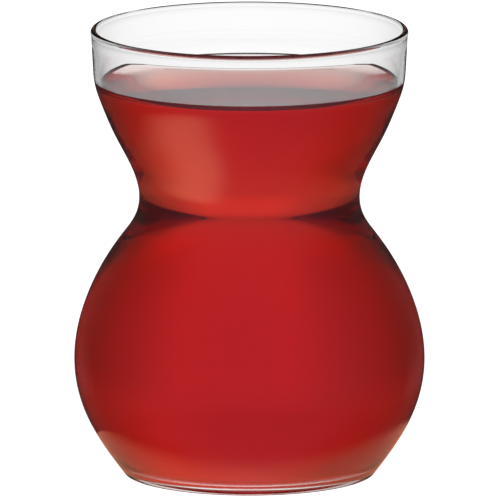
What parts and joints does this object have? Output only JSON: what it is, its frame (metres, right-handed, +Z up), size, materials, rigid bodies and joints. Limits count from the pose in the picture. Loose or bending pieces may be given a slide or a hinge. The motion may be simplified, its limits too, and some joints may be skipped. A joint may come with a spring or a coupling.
{
  "type": "turkish tea glass",
  "caption": "Clear full-bellied tea glass with a narrow neck and flared bowl, filled with dark red tea to just below the rim.",
  "frame": {"origin": "centre of the foot, on the plane that the glass stands on", "axes": "+Z up along the axis of the turned glass, from the foot to the rim"},
  "size_m": [0.063, 0.063, 0.081],
  "materials": {
    "glass": "clear, smooth, fire-polished",
    "tea": "clear dark red liquid with a still, glossy surface"
  },
  "bodies": {
    "root": {"glass": "glass", "tea": "tea"}
  },
  "joints": []
}
